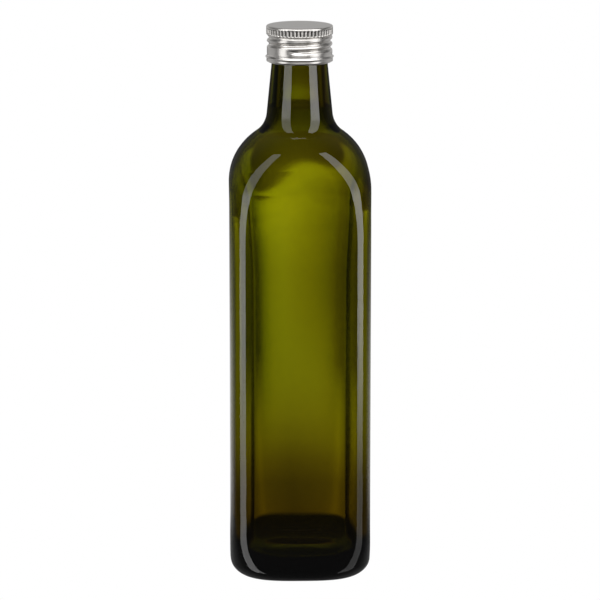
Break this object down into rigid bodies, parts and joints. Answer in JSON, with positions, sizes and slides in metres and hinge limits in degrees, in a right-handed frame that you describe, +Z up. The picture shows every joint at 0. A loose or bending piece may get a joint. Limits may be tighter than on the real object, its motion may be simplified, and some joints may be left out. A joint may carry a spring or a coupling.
{
  "type": "square glass oil bottle",
  "caption": "Tall square bottle of dark green glass with round shoulders, a slender neck and a rolled aluminium screw cap, standing empty and shut.",
  "frame": {"origin": "on the resting surface, under the middle of the base", "axes": "+Z up along the neck; the four flat faces look along +X, -X, +Y and -Y, and the picture looks at the -Y face"},
  "size_m": [0.069, 0.069, 0.271],
  "materials": {
    "green_glass": "clear dark olive green bottle glass, glossy",
    "aluminium": "satin sheet aluminium, clear lacquered"
  },
  "bodies": {
    "root": {"bottle": "green_glass", "cap": "aluminium"}
  },
  "joints": []
}
